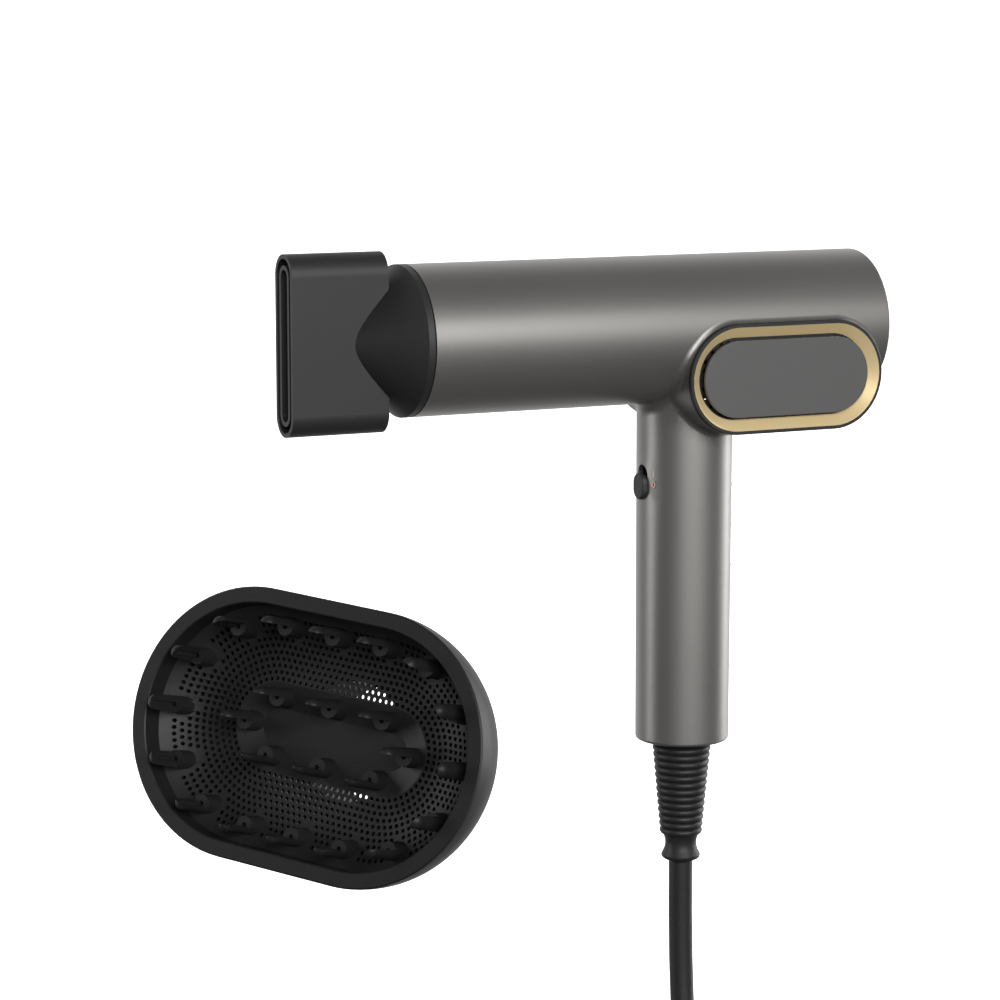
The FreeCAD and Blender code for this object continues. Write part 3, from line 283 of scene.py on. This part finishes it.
lead_black = Finish("lead_pvc", Specular_IOR_Level=0.4)
lead_grain = lead_black.noise(lead_black.place(), 900.0, 4.0)
lead_black.feed("Base Color", lead_black.blend(lead_grain, colour(0.010, 0.010, 0.011),
                                               colour(0.022, 0.022, 0.024)))
lead_black.feed("Roughness", 0.42 + 0.14 * lead_black.noise(lead_black.place(), 60.0))
lead_black.bump(lead_grain, 0.00008, 0.35)
cord_curve.materials.append(lead_black.material)
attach(mains_cord, "housing")
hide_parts("cord_tube", "cord_coil", "cord_tail")


def dress(finish, *names):
    """Gives carried-over pieces a finish."""
    for name in names:
        for place in nodes[name].material_slots:
            place.material = finish.material


dress(lead_black, "strain_relief", "plug_relief")


# ---------------------------------------------------------------- tie strap and plug
# Woven hook-and-loop strap closed round the ring; the plug is a moulded two-pin body in
# black PVC with a fine spark-eroded grain, on nickel-plated brass pins.
strap = Finish("strap_weave", Roughness=0.9, Sheen_Weight=0.3)
strap_at = strap.place()
weave_across = strap.add("TexWave", {"wave_type": "BANDS", "bands_direction": "Z"},
                         {"Vector": strap_at, "Scale": 420.0, "Distortion": 0.6})
weave_along = strap.add("TexWave", {"wave_type": "BANDS", "bands_direction": "Y"},
                        {"Vector": strap_at, "Scale": 420.0, "Distortion": 0.6})
weave = weave_across * weave_along
strap.feed("Base Color", strap.blend(weave, colour(0.012, 0.012, 0.013),
                                     colour(0.05, 0.05, 0.052)))
strap.bump(weave, 0.0003, 0.8)
dress(strap, "cord_tie")

plug_black = Finish("plug_pvc", Specular_IOR_Level=0.45)
plug_grain = plug_black.noise(plug_black.place(), 1600.0, 2.0)
plug_black.feed("Base Color", plug_black.blend(plug_grain, colour(0.012, 0.012, 0.013),
                                               colour(0.024, 0.024, 0.026)))
plug_black.feed("Roughness", 0.38 + 0.16 * plug_grain)
plug_black.bump(plug_grain, 0.00006, 0.5)
dress(plug_black, "plug_body")


def brushed(name, base, bright, roughness, scale, grain):
    """Metal with fine lines drawn along one axis, given by the pattern's scale."""
    metal = Finish(name, Metallic=1.0)
    lines = metal.noise(metal.place(scale=scale), 1.0, 4.0, 0.65)
    metal.feed("Base Color", metal.blend(lines, colour(*base), colour(*bright)))
    metal.feed("Roughness", roughness + grain * (lines - 0.5))
    metal.bump(lines, 0.00003, 0.4)
    return metal


nickel = brushed("nickel_plate", (0.55, 0.53, 0.50), (0.75, 0.73, 0.69), 0.24,
                 (60, 2500, 2500), 0.15)
dress(nickel, "plug_pins")


# ---------------------------------------------------------------- barrel and grip
# One aluminium-filled moulding, sprayed with a satin warm-grey metallic paint: a fine flake
# under a thin clear coat.  It carries both intake pods.
body_paint = Finish("satin_metallic_paint", Coat_Roughness=0.3, Specular_IOR_Level=0.5)
flake = body_paint.noise(body_paint.place(), 4200.0, 2.0)
cloud = body_paint.noise(body_paint.place(), 14.0, 3.0)
body_paint.feed("Base Color", body_paint.blend(0.75 * flake + 0.25 * cloud,
                                               colour(0.205, 0.198, 0.189),
                                               colour(0.295, 0.285, 0.273)))
body_paint.feed("Metallic", 0.74 + 0.1 * flake)
body_paint.feed("Roughness", 0.39 + 0.08 * flake + 0.04 * cloud)
body_paint.feed("Coat Weight", 0.22 + 0.06 * cloud)
body_paint.bump(flake, 0.00002, 0.25)
dress(body_paint, "body_shell", "rear_cap")


# ---------------------------------------------------------------- black mouldings
# Satin black plastic with a fine spark-eroded grain: nozzle, cover frames, switch, buttons
# and the pieces behind the air outlet.
satin_black = Finish("satin_black_plastic", Specular_IOR_Level=0.5)
black_grain = satin_black.noise(satin_black.place(), 2200.0, 2.0)
black_cloud = satin_black.noise(satin_black.place(), 30.0, 3.0)
satin_black.feed("Base Color", satin_black.blend(black_grain, colour(0.013, 0.013, 0.0135),
                                                 colour(0.024, 0.024, 0.025)))
satin_black.feed("Roughness", 0.43 + 0.10 * black_grain + 0.05 * black_cloud)
satin_black.bump(black_grain, 0.00004, 0.35)
dress(satin_black, "nozzle_shell", "nozzle_channel", "nozzle_retainer", "outlet_grille",
      "intake_frame_near", "intake_frame_far", "intake_mesh_near", "intake_mesh_far",
      "switch_cap", "switch_body", "speed_button", "heat_button", "cool_button", "end_cap",
      "cord_clamp", "lead_block", "fan_duct", "impeller")

gold = Finish("satin_gold_plate", Coat_Weight=0.25, Coat_Roughness=0.2)
gold_grain = gold.noise(gold.place(), 3000.0, 2.0)
gold.feed("Base Color", gold.blend(gold_grain, colour(0.86, 0.65, 0.32), colour(0.95, 0.77, 0.45)))
gold.feed("Metallic", 0.30 + 0.10 * gold_grain)
gold.feed("Roughness", 0.33 + 0.08 * gold_grain)
gold.bump(gold_grain, 0.00003, 0.3)
dress(gold, "intake_trim_near", "intake_trim_far")

panel_grey = Finish("panel_satin_grey", Specular_IOR_Level=0.5)
panel_grain = panel_grey.noise(panel_grey.place(), 2600.0, 2.0)
panel_grey.feed("Base Color", panel_grey.blend(panel_grain, colour(0.085, 0.084, 0.083),
                                               colour(0.115, 0.114, 0.112)))
panel_grey.feed("Roughness", 0.42 + 0.08 * panel_grain)
panel_grey.bump(panel_grain, 0.00003, 0.3)
dress(panel_grey, "intake_panel_near", "intake_panel_far")


# ---------------------------------------------------------------- diffuser
# Clip-on diffuser in satin black plastic: a round-sided bowl, a dished plate pierced with
# small air holes round a smooth well, and two rows of fingers that stand on it.
half_run = 24.7 * MM
mouth_r, well_r, floor_r = 44.25 * MM, 16.4 * MM, 6.8 * MM
plate_edge_z, plate_mid_z, well_edge_z, well_floor_z = -9 * MM, -17.8 * MM, -20 * MM, -23.4 * MM
dish_rim_r, dish_mid_r = 44.3 * MM, 30.35 * MM
PLATE_SHEET = 1.1 * MM
DIFFUSER_AT = (-171.6 * MM, -23.2 * MM, -44.7 * MM)
DIFFUSER_HEADING, DIFFUSER_TILT, DIFFUSER_ROLL = 35.4, 14.9, -5.2
diffuser_turn = (Matrix.Translation(DIFFUSER_AT)
                 @ Matrix.Rotation(math.radians(DIFFUSER_HEADING), 4, "Z")
                 @ Matrix.Rotation(math.radians(DIFFUSER_TILT - 90), 4, "Y")
                 @ Matrix.Rotation(math.radians(DIFFUSER_ROLL - 90), 4, "Z"))
from_diffuser, to_diffuser = diffuser_turn.to_3x3(), diffuser_turn.inverted()


def circle_through(a, b, c):
    """Centre and radius of the circle through three (r, z) points."""
    (ax, ay), (bx, by), (cx, cy) = a, b, c
    a2, b2, c2 = ax**2 + ay**2, bx**2 + by**2, cx**2 + cy**2
    d = 2 * (ax * (by - cy) + bx * (cy - ay) + cx * (ay - by))
    ux = (a2 * (by - cy) + b2 * (cy - ay) + c2 * (ay - by)) / d
    uy = (a2 * (cx - bx) + b2 * (ax - cx) + c2 * (bx - ax)) / d
    return ux, uy, math.hypot(ax - ux, ay - uy)


dish_r, dish_z, dish_size = circle_through(
    (dish_rim_r, plate_edge_z), (dish_mid_r, plate_mid_z), (well_r, well_edge_z))


def dish_height(r):
    return dish_z - math.sqrt(dish_size**2 - (r - dish_r) ** 2)


def dish_over(x, y):
    """Height of the dish at a point of the oblong."""
    r = math.hypot(max(abs(x) - half_run, 0), y)
    return dish_height(min(max(r, well_r), mouth_r))


def oblong_point(share, r):
    """Point at this share of the way round an oblong of radius r."""
    whole = 4 * half_run + TAU * r
    s = (share % 1) * whole
    if s <= half_run:
        return s, r
    if s < half_run + math.pi * r:
        a = math.pi / 2 - (s - half_run) / r
        return half_run + r * math.cos(a), r * math.sin(a)
    if s <= 3 * half_run + math.pi * r:
        return half_run - (s - half_run - math.pi * r), -r
    if s < whole - half_run:
        a = -math.pi / 2 - (s - 3 * half_run - math.pi * r) / r
        return -half_run + r * math.cos(a), r * math.sin(a)
    return s - whole, r


PRONG_R, PRONG_CLEAR, RING_R = 3.9 * MM, 1.1 * MM, 37.2 * MM
outer_prongs = [oblong_point(i / 16, RING_R) for i in range(16)]
inner_prongs = [(x * MM, side * 11 * MM) for side in (1, -1) for x in (-23, 0, 23)]
inner_prongs += [(35 * MM, 0), (-35 * MM, 0)]
HOLE_R, HOLE_GAP, ROW_GAP, FIRST_ROW = 0.82 * MM, 2.5 * MM, 2.45 * MM, 17.75 * MM

outlines = [[oblong_point(i / 180, r) for i in range(180)] for r in (mouth_r, well_r)]
for row in range(10):
    r = FIRST_ROW + row * ROW_GAP
    count = round((4 * half_run + TAU * r) / HOLE_GAP)
    for i in range(count):
        x, y = oblong_point((i + 0.5 * (row % 2)) / count, r)
        if all(math.hypot(x - px, y - py) > PRONG_R + PRONG_CLEAR
               for px, py in outer_prongs + inner_prongs):
            outlines.append([(x + HOLE_R * math.cos(TAU * k / 9), y + HOLE_R * math.sin(TAU * k / 9))
                             for k in range(9)])
plate_curve = bpy.data.curves.new("plate_outline", "CURVE")
plate_curve.dimensions, plate_curve.fill_mode = "2D", "BOTH"
for outline in outlines:
    loop = plate_curve.splines.new("POLY")
    loop.points.add(len(outline) - 1)
    loop.use_cyclic_u = True
    for point, (x, y) in zip(loop.points, outline):
        point.co = (x, y, 0, 1)
plate_flat = bpy.data.objects.new("plate_outline", plate_curve)
bpy.context.collection.objects.link(plate_flat)
bpy.context.view_layer.update()
plate_mesh = bpy.data.meshes.new_from_object(
    plate_flat.evaluated_get(bpy.context.evaluated_depsgraph_get()))
bpy.data.objects.remove(plate_flat)


def lathe_oblong(bm, profile, steps=24):
    """Carries a line of (r, z) points round the oblong, ring by ring."""
    ring = bmesh.ops.create_circle(bm, cap_ends=False, segments=4 * steps, radius=1.0)["verts"]
    bmesh.ops.rotate(bm, verts=ring, cent=(0, 0, 0),
                     matrix=Matrix.Rotation(math.pi / (4 * steps), 3, "Z"))
    edges = list({e for v in ring for e in v.link_edges})
    heading = {v: (v.co.x, v.co.y) for v in ring}
    for i, (r, z) in enumerate(profile):
        if i:
            grown = bmesh.ops.extrude_edge_only(bm, edges=edges)["geom"]
            fresh = [g for g in grown if isinstance(g, bmesh.types.BMVert)]
            edges = [g for g in grown if isinstance(g, bmesh.types.BMEdge)
                     and g.verts[0] in fresh and g.verts[1] in fresh]
            now = {}
            for v in fresh:
                partner = next(e.other_vert(v) for e in v.link_edges
                               if e.other_vert(v) in heading)
                now[v] = heading[partner]
            heading = now
        for v, (c, s) in heading.items():
            v.co = ((half_run if c > 0 else -half_run) + r * c, r * s, z)
    return edges


def thicken(bm, depth):
    """Makes a sheet a slab, straight down from its top."""
    copy = bmesh.ops.extrude_face_region(bm, geom=bm.faces[:], use_keep_orig=True)["geom"]
    bmesh.ops.translate(bm, verts=[g for g in copy if isinstance(g, bmesh.types.BMVert)],
                        vec=(0, 0, -depth))
    bmesh.ops.recalc_face_normals(bm, faces=bm.faces)


def add_piece(name, bm, finish, body, slot, *hidden, sharp=35, place=None):
    """Makes a bmesh an object in its place, dresses it, and lets it ride on a body."""
    if place is not None:
        bm.transform(place)
    bm.normal_update()
    for face in bm.faces:
        face.smooth = True
    for edge in bm.edges:
        edge.smooth = len(edge.link_faces) == 2 and edge.calc_face_angle(0) < math.radians(sharp)
    mesh = bpy.data.meshes.new(name)
    bm.to_mesh(mesh)
    bm.free()
    mesh.materials.append(finish.material)
    piece = bpy.data.objects.new(name, mesh)
    bpy.context.collection.objects.link(piece)
    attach(piece, body)
    if hidden:
        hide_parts(*hidden)
    return piece


plate = bmesh.new()
plate.from_mesh(plate_mesh)
bpy.data.meshes.remove(plate_mesh)
bmesh.ops.beautify_fill(plate, faces=plate.faces[:], edges=plate.edges[:], method="ANGLE")
for v in plate.verts:
    v.co.z = dish_over(v.co.x, v.co.y)
thicken(plate, PLATE_SHEET)

diffuser_black = Finish("diffuser_black_plastic", Specular_IOR_Level=0.28)
moulded = diffuser_black.noise(diffuser_black.place(), 1900.0, 2.0)
handled = diffuser_black.noise(diffuser_black.place(), 26.0, 3.0)
diffuser_black.feed("Base Color", diffuser_black.blend(moulded, colour(0.010, 0.010, 0.0105),
                                                       colour(0.018, 0.018, 0.019)))
diffuser_black.feed("Roughness", 0.40 + 0.10 * moulded + 0.05 * handled)
diffuser_black.bump(moulded, 0.00004, 0.35)
air_plate = add_piece("air_plate", plate, diffuser_black, "diffuser", "diffuser_plastic",
                      "diffuser_plate", place=diffuser_turn)

# The dish is shaded as the smooth bowl it is, whatever the faces between its holes.
FLAT_ENOUGH = 0.6
upright = from_diffuser.inverted()
corner_normals = []
for face in air_plate.data.polygons:
    corners = [to_diffuser @ air_plate.data.vertices[corner].co for corner in face.vertices]
    depths = [dish_over(x, y) - z for x, y, z in corners]
    if max(depths) - min(depths) > 0.5 * PLATE_SHEET:
        facing = (upright @ face.normal).z
    else:
        facing = 1 if max(depths) < 0.5 * PLATE_SHEET else -1
    for x, y, _ in corners:
        out = Vector((x - math.copysign(min(abs(x), half_run), x), y, 0))
        rise = out.length - dish_r
        slope = rise / math.sqrt(dish_size**2 - rise**2)
        smooth = from_diffuser @ (Vector((0, 0, 1)) - slope * out.normalized()).normalized()
        corner_normals.append(smooth * math.copysign(1, facing) if abs(facing) > FLAT_ENOUGH
                              else face.normal)
air_plate.data.normals_split_custom_set(corner_normals)

well = bmesh.new()
well_floor = lathe_oblong(well, [(well_r + 0.1 * MM, well_edge_z + 0.05 * MM),
                                 (floor_r, well_floor_z), (0.3 * MM, well_floor_z)])
bmesh.ops.contextual_create(well, geom=well_floor)
thicken(well, PLATE_SHEET)
add_piece("plate_well", well, diffuser_black, "diffuser", "diffuser_plastic", sharp=12,
          place=diffuser_turn)
dress(diffuser_black, "diffuser_bowl", "diffuser_prongs", "diffuser_inner_prongs")


# ---------------------------------------------------------------- switch marks
# The two marks beside the slide switch, printed in peach ink: a bar for on, a ring for off.
# Each is a thin inlay that follows the grip.
MARK_THICK, MARK_HIGH, MARK_TURN = 0.08 * MM, 2.5 * MM, math.radians(21.7)
BAR_WIDE, RING_HALF_WIDE, RING_LINE = 0.45 * MM, 0.85 * MM, 0.42 * MM
BAR_Z, RING_Z = 39.4, 35.5
GRIP_TOP_R, GRIP_TAPER, GRIP_LONG, BARREL_Z = 18.85, 0.45, 162.4, 95


def on_grip(z):
    """Place on the grip beside the switch, facing out."""
    r = (GRIP_TOP_R - GRIP_TAPER * (BARREL_Z - z) / GRIP_LONG) * MM
    return (Matrix.Translation((-r * math.cos(MARK_TURN), -r * math.sin(MARK_TURN), z * MM))
            @ Matrix.Rotation(math.pi + MARK_TURN, 4, "Z") @ Matrix.Rotation(math.pi / 2, 4, "Y")
            @ Matrix.Rotation(math.pi / 2, 4, "Z"))


marks = bmesh.new()
bar = bmesh.ops.create_cube(marks, size=1.0)["verts"]
bmesh.ops.scale(marks, verts=bar, vec=(BAR_WIDE, MARK_HIGH, 2 * MARK_THICK))
bmesh.ops.transform(marks, verts=bar, matrix=on_grip(BAR_Z))
loops = [bmesh.ops.create_circle(marks, segments=32, radius=1.0)["verts"] for _ in range(2)]
for loop, inset in zip(loops, (0, RING_LINE)):
    bmesh.ops.scale(marks, verts=loop, vec=(RING_HALF_WIDE - inset, MARK_HIGH / 2 - inset, 1))
rims = list({e for loop in loops for v in loop for e in v.link_edges})
band = bmesh.ops.bridge_loops(marks, edges=rims)["faces"]
skin = bmesh.ops.solidify(marks, geom=band, thickness=2 * MARK_THICK)["geom"]
ring = {v for loop in loops for v in loop} | {g for g in skin if isinstance(g, bmesh.types.BMVert)}
bmesh.ops.transform(marks, verts=list(ring), matrix=on_grip(RING_Z))
bmesh.ops.recalc_face_normals(marks, faces=marks.faces)
peach_ink = Finish("peach_ink", Specular_IOR_Level=0.3)
ink_grain = peach_ink.noise(peach_ink.place(), 3000.0, 2.0)
peach_ink.feed("Base Color", peach_ink.blend(ink_grain, colour(0.62, 0.42, 0.31),
                                             colour(0.75, 0.53, 0.40)))
peach_ink.feed("Roughness", 0.5 + 0.1 * ink_grain)
add_piece("switch_marks", marks, peach_ink, "housing", "gold_trim")


# ---------------------------------------------------------------- pieces behind the covers
# Heater, fan, boards and wiring: each material is two tones mixed by a fine grain, with its
# own gloss.  The windings, mica and boards carry the scale of grain that they really have.
def inner_finish(name, dark, light, rough, metal, grain, *pieces):
    finish = Finish(name, Metallic=metal)
    fine = finish.noise(finish.place(), grain, 3.0)
    broad = finish.noise(finish.place(), grain / 40, 2.0)
    finish.feed("Base Color", finish.blend(0.7 * fine + 0.3 * broad, colour(*dark), colour(*light)))
    finish.feed("Roughness", rough + 0.14 * fine - 0.05 * broad)
    finish.bump(fine, 0.00003, 0.4)
    dress(finish, *pieces)


inner_finish("satin_black_ring", (0.013, 0.013, 0.014), (0.024, 0.024, 0.025), 0.40, 0.0, 2200.0,
             "outlet_ring")
inner_finish("mica_sheet", (0.36, 0.30, 0.21), (0.58, 0.51, 0.39), 0.38, 0.05, 700.0,
             "mica_cross", "mica_sleeve")
inner_finish("nickel_chrome_wire", (0.34, 0.32, 0.30), (0.50, 0.47, 0.44), 0.34, 1.0, 1500.0,
             "heater_coils")
inner_finish("thermal_case", (0.42, 0.42, 0.43), (0.60, 0.60, 0.61), 0.36, 0.9, 1800.0,
             "thermal_cutout", "thermal_fuse")
inner_finish("drawn_steel", (0.38, 0.38, 0.39), (0.56, 0.56, 0.57), 0.26, 1.0, 1400.0,
             "motor_can", "fan_shaft", "ion_needles", "clamp_screws", "nozzle_magnet")
inner_finish("isolating_rubber", (0.018, 0.018, 0.018), (0.035, 0.035, 0.035), 0.70, 0.0, 900.0,
             "fan_mounts")
inner_finish("board_mask", (0.010, 0.070, 0.030), (0.016, 0.110, 0.048), 0.30, 0.0, 1200.0,
             "main_board", "button_board")
inner_finish("moulded_components", (0.020, 0.020, 0.022), (0.060, 0.058, 0.056), 0.42, 0.0, 1100.0,
             "board_parts", "tact_switches")
inner_finish("nylon_spacers", (0.60, 0.59, 0.55), (0.74, 0.73, 0.69), 0.45, 0.0, 1300.0,
             "board_spacers")
inner_finish("extruded_aluminium", (0.50, 0.50, 0.51), (0.66, 0.66, 0.67), 0.34, 1.0, 900.0,
             "heat_sink")
inner_finish("silicone_insulation", (0.42, 0.035, 0.028), (0.56, 0.060, 0.045), 0.50, 0.0, 1500.0,
             "mains_leads", "heater_leads")
